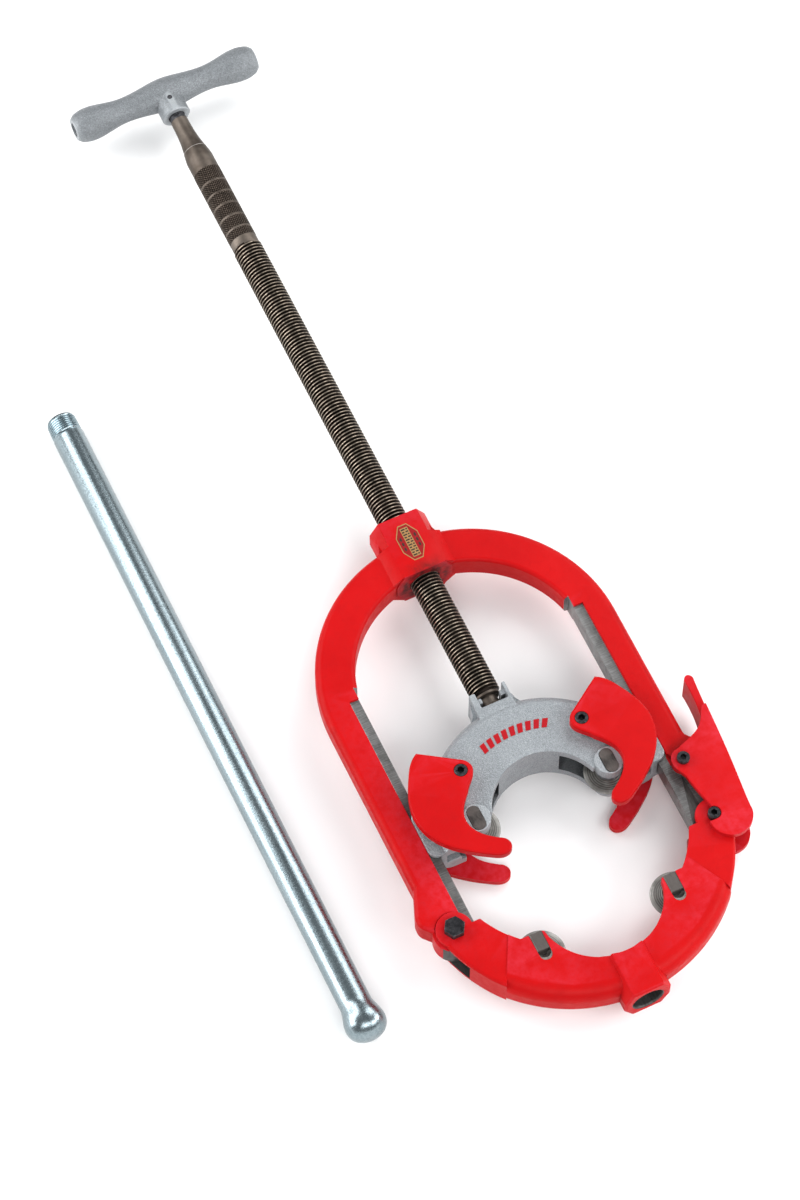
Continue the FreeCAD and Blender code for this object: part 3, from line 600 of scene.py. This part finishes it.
def make_feed_screw():
    """Thread, end collar, knurled part, tapered neck with a painted highlight ring round it, and the end in
    the tee, drawn black as painted shade.
    """
    thread, shank, knurl, highlight_ring, shaded_tee_end = range(5)
    bm = bmesh.new()
    helix(bm, THREAD_START, THREAD_END, SCREW_PITCH, ROOT_R, CREST_R, mat=thread)
    close_and_clean(bm)
    collar = [(0, COLLAR_START), (11.5, COLLAR_START), (13.2, 170.6), (COLLAR_R, 172), (COLLAR_R, 189),
              (13.6, COLLAR_END), (NECK_R, COLLAR_END), (NECK_R, COLLAR_NECK_END), (12.6, COLLAR_NECK_END),
              (13.6, 200.3), (ROOT_R, THREAD_START + 1.5), (0, THREAD_START + 1.5)]
    lathe(bm, collar, mat=shank)
    lathe(bm, [(0, THREAD_END - 2), (ROOT_R, THREAD_END - 2), (14.6, THREAD_END), (SHANK_R, THREAD_END + 1),
               (SHANK_R, 797.4), (0, 797.4)], mat=shank)
    knurled(bm, KNURL_START, KNURL_END, KNURL_R, KNURL_DEPTH, KNURL_RINGS, knurl, shank)
    taper = [(0, 890.8), (SHANK_R, 890.8), (SHANK_R, TAPER_START), (14.7, 912.5), (14.0, 917),
             (13.1, TAPER_LINE), (12.2, 926), (11.2, 932), (10.4, 938), (9.8, 945), (NECK_R, 953),
             (9.45, 963.5), (0, 963.5)]
    lathe(bm, taper, mat=shank)
    # Painted highlight: a thin lighter ring at the start of the taper.
    lathe(bm, [(0, 921.3), (13.2, 921.3), (13.3, TAPER_LINE), (13.1, 922.0), (0, 922.0)], mat=highlight_ring)
    # Painted shade: the end in the tee is drawn black for the dark gap at the tee.
    lathe(bm, [(0, TEE_END_START), (TEE_END_R, TEE_END_START), (TEE_END_R, TEE_END_END), (0, TEE_END_END)],
          mat=shaded_tee_end)
    mats = [SCREW, SHANK, KNURL, CHIPS_AND_HIGHLIGHT, BLACK]
    return new_piece("feed_screw_threaded", bm, mats, "screw", "feed_screw", 40)


# ------------------------------------------------------------ loose handle
# Millimetres. The tube lies tilted on the bench, because its knob is thicker than its thread end.
BENCH_Z = -40.3
HANDLE_X = -260.0
KNOB_Y, KNOB_R = -54.0, 21.5
TUBE_R, BORE_R = 16.7, 13.3
TUBE_START = -34
TUBE_THREAD_START, TUBE_THREAD_END = 673.5, 693.0
TUBE_REST_LENGTH = 748.0  # from the middle of the knob to the thread end, along the tube
BENCH_GAP = 0.02
TUBE_SEAM = 2e-5  # metres


def make_handle():
    tilt = math.asin((KNOB_R - TUBE_R) / TUBE_REST_LENGTH)
    lie_at = Matrix.Translation((HANDLE_X * MM, 0, (BENCH_Z + KNOB_R + BENCH_GAP) * MM))
    about_knob = Matrix.Translation((0, KNOB_Y * MM, 0))
    place = lie_at @ about_knob @ Matrix.Rotation(-tilt, 4, "X") @ Matrix.Translation((0, -KNOB_Y * MM, 0))
    bm = bmesh.new()
    helix(bm, TUBE_THREAD_START, TUBE_THREAD_END, 2.5, 14.6, 16.2, steps=64, mat=1, taper=0.012)
    clean(bm, THREAD_MERGE, THREAD_MERGE)
    lathe(bm, [(15.0, TUBE_THREAD_START), (15.6, 672.6), (16.5, 671.6), (TUBE_R, 671), (TUBE_R, TUBE_START),
               (BORE_R, TUBE_START), (BORE_R, 693.6), (14.3, 694.0), (14.75, TUBE_THREAD_END)], steps=64)
    bmesh.ops.remove_doubles(bm, verts=bm.verts, dist=TUBE_SEAM)
    bmesh.ops.recalc_face_normals(bm, faces=bm.faces)
    bmesh.ops.transform(bm, matrix=place, verts=bm.verts)
    return new_piece("handle_tube_threaded", bm, [ZINC, ZINC_CUT], "handle", "handle_tube", 40)


# ------------------------------------------------------------ hub sticker and slide mark
STICKER_Y = 383
STICKER_Z = 27.0
BAND_CENTRE_Y = 42.0
BAND_LOW_R, BAND_TOP_R = 99.0, 109.0
BAND_Z = 26.0


def make_sticker():
    """Film with a gold rim, a gold panel with rows of plain dashes, and three plain dots on each side."""
    def octo(w, h, cut_x, cut_y):
        half = [(cut_x, h), (-cut_x, h), (-w, cut_y), (-w, -cut_y)]
        return half + [(-x, -y) for x, y in half]

    def at(points):
        return [(x, STICKER_Y + y) for x, y in points]

    def layer(points, low, high, mat):
        prism(bm, at(points), STICKER_Z + low, STICKER_Z + high, mat)

    gold, red, ink = range(3)
    bm = bmesh.new()
    layer(octo(12.2, 21.4, 4.9, 9.0), 0.0, 0.10, gold)
    layer(octo(11.3, 20.2, 4.5, 8.5), 0.02, 0.14, red)
    layer([(4.3, 17.5), (-4.3, 17.5), (-4.3, -17.5), (4.3, -17.5)], 0.04, 0.18, gold)
    for k in range(11):
        y = -15.5 + 3.1 * k
        dashes = ((-3.5, -0.9), (0.5, 3.5)) if k % 2 else ((-3.5, 0.8), (1.7, 3.5))
        for x0, x1 in dashes:
            layer([(x1, y + 0.8), (x0, y + 0.8), (x0, y - 0.8), (x1, y - 0.8)], 0.10, 0.22, ink)
    for side in (-1, 1):
        for y in (-6, 0, 6):
            angles = [2 * math.pi * i / 20 for i in range(20)]
            dot = [(side * 8 + 1.1 * math.cos(a), y + 2.2 * math.sin(a)) for a in angles]
            layer(dot, 0.10, 0.20, ink)
    return new_piece("hub_sticker", bm, [GOLD, FILM, INK], "frame", "hub_label", 30)


def band_point(across, r):
    """Point on the arc of the slide's face; across is the distance along the middle of the band."""
    a = across / ((BAND_LOW_R + BAND_TOP_R) / 2)
    return math.sin(a) * r, BAND_CENTRE_Y + math.cos(a) * r


def make_mark():
    """A row of plain raised slanting bars along the arc."""
    bm = bmesh.new()
    for k in range(9):
        x = -34.5 + 8.6 * k
        low = [band_point(x + d, BAND_LOW_R) for d in (-3.2, 0.0, 2.4)]
        top = [band_point(x + d, BAND_TOP_R) for d in (4.6, 2.2, -1.0)]
        prism(bm, top + low, BAND_Z, BAND_Z + 0.45)
    bmesh.ops.recalc_face_normals(bm, faces=bm.faces)
    return new_piece("slide_bars", bm, [MARK], "slide", "slide_mark", 30)


make_feed_screw()
make_handle()
make_sticker()
make_mark()


# ------------------------------------------------------------ CAD nodes that stay
def paint(node, material):
    ob = NODES[node]
    ob.data.materials.clear()
    ob.data.materials.append(material)


# The rules take a face's middle, in mm, and its normal, and give the place of its look in the casting's list.
EAR_X, EAR_Y = 144, -21
LEG_INNER_X = 121.5
ARCH_START_Y = 262
RAIL_Z = 13.0
EAR_SLOT_Z, EAR_SLOT_R = 13.4, 42


def frame_rule(x, y, z, n):
    """0 paint, 1 machined, 2 machined darkened as painted shade inside the ear slots."""
    ax = abs(x)
    if math.hypot(ax - EAR_X, y - EAR_Y) < 24 and abs(z) < 13.2 and y < 0:
        return 0 if x < -152 and y > -34 else 2
    if abs(n.x) > 0.9 and abs(ax - LEG_INNER_X) < 0.3 and y < 263:
        return 1
    if abs(n.y) > 0.9 and abs(y - ARCH_START_Y) < 0.3 and ax < 122:
        return 1
    facet = abs(abs(z) - RAIL_Z) < 0.1
    return 1 if facet and (y < 40 or (116 < ax < 132.2 and y < 252)) else 0


def lower_rule(x, y, z, n):
    """0 paint, 1 chipped walls of the pin slots, 2 machined darkened as painted shade: ear slots, wheel
    windows, handle socket.
    """
    slot_end = abs(z) < 13.3 and abs(math.hypot(abs(x) - EAR_X, y - EAR_Y) - EAR_SLOT_R) < 0.4
    slot = abs(abs(z) - EAR_SLOT_Z) < 0.05 or slot_end
    window = abs(z) < 8.7 and math.hypot(abs(x) - 74, y + 74.5) < 27.7 and y > -104
    pin = 66 < abs(x) < 82 and -91 < y < -50 and 11.9 < abs(z) < 20.45
    bore = math.hypot(x, z) < 17.5 and y < -128
    if slot or window or bore:
        return 2
    return 1 if pin else 0


def slide_rule(x, y, z, n):
    """1 inside the hollows between the cheeks, darker there as painted shade; 0 elsewhere."""
    between_cheeks = abs(z) < 16.1 and abs(x) > 33.8 and y > 60
    return 1 if between_cheeks and math.hypot(x, y - 62) < 98.3 and math.hypot(x, y - 56) > 60.0 else 0


soften("upper_frame", "frame", [RED, RAIL, RAIL_SHADED], 1.3, frame_rule)
soften("lower_frame", "lower", [RED, CHIPS_AND_HIGHLIGHT, RAIL_SHADED], 1.1, lower_rule)
soften("latch", "latch", [RED_PLATE], 1.1)
soften("slide_block", "slide", [SILVER, SILVER_SHADED], 1.0, slide_rule)
for node in ("latch_pivot_screw", "hinge_bolt", "catch_pin", "guide_screws_front", "guide_screws_back",
             "t_handle_pin"):
    paint(node, BLACK)
for side in ("left", "right"):
    paint(f"guide_front_{side}", RED_PLATE)
    paint(f"guide_back_{side}", RED_PLATE)
    for level in ("upper", "lower"):
        paint(f"{level}_pin_{side}", PIN)
        paint(f"wheel_{level}_{side}", WHEEL)
paint("t_handle", SILVER_TEE)
paint("handle_knob", ZINC)


# ------------------------------------------------------------ floor, light, camera
FLOOR_Z = -0.0404
LIGHT_AIM = (0, 0.35, 0)
# Each light: name, place, size, power in watts.
LIGHTS = (
    ("key", (1.55, 1.35, 1.75), (1.5, 1.7), 36),
    ("side", (-2.2, 1.1, 0.75), (1.9, 1.3), 48),
    ("front", (-0.6, -1.5, 1.8), (1.6, 1.2), 30),
    ("right", (2.3, -0.3, 1.1), (1.6, 1.1), 34),
    ("back", (-1.3, 2.2, 1.6), (1.6, 1.2), 34),
    ("corner", (1.2, -1.6, 1.5), (1.5, 1.1), 30),
)


def make_floor():
    bm = bmesh.new()
    bmesh.ops.create_grid(bm, x_segments=1, y_segments=1, size=6.0)
    me = bpy.data.meshes.new("floor")
    bm.to_mesh(me)
    bm.free()
    ob = bpy.data.objects.new("floor", me)
    ob.location = (0, 0.45, FLOOR_Z)
    bpy.context.scene.collection.objects.link(ob)
    g = Graph("floor_pale")
    g.set(Base_Color=rgb(0.90, 0.90, 0.90), Roughness=0.85)
    me.materials.append(g.mat)


def area_light(name, place, size, watts):
    data = bpy.data.lights.new(name, "AREA")
    data.shape = "RECTANGLE"
    data.size, data.size_y = size
    data.energy = watts
    ob = bpy.data.objects.new(name, data)
    ob.location = place
    ob.rotation_mode = "QUATERNION"
    ob.rotation_quaternion = (Vector(LIGHT_AIM) - Vector(place)).to_track_quat("-Z", "Y")
    bpy.context.scene.collection.objects.link(ob)


def make_lights():
    world = bpy.data.worlds.new("studio")
    bpy.context.scene.world = world
    world.use_nodes = True
    world.node_tree.nodes["Background"].inputs[0].default_value = (0.93, 0.97, 1.0, 1)
    world.node_tree.nodes["Background"].inputs[1].default_value = 0.34
    for light in LIGHTS:
        area_light(*light)


def make_camera():
    """A long lens from in front of and above the lying tool."""
    above, turn = math.radians(63.6), math.radians(25.42)
    away, left, higher = 4.800, 0.17264, 0.25534
    nudge = Vector((0, 0.0055, 0.005))
    north = Vector((math.sin(turn), math.cos(turn), 0))
    right = Vector((math.cos(turn), -math.sin(turn), 0))
    sky = Vector((0, 0, 1))
    back = -math.cos(above) * north + math.sin(above) * sky
    up = math.sin(above) * north + math.cos(above) * sky
    data = bpy.data.cameras.new("camera")
    data.sensor_width = 36.0
    data.lens = 144.0
    data.clip_start, data.clip_end = 0.1, 50
    ob = bpy.data.objects.new("camera", data)
    place = -left * right + higher * up + away * back + nudge
    m = Matrix((right, up, back)).transposed().to_4x4()
    ob.matrix_world = Matrix.Translation(place) @ m
    bpy.context.scene.collection.objects.link(ob)
    bpy.context.scene.camera = ob


make_floor()
make_lights()
make_camera()
bpy.context.scene.view_settings.view_transform = "Standard"
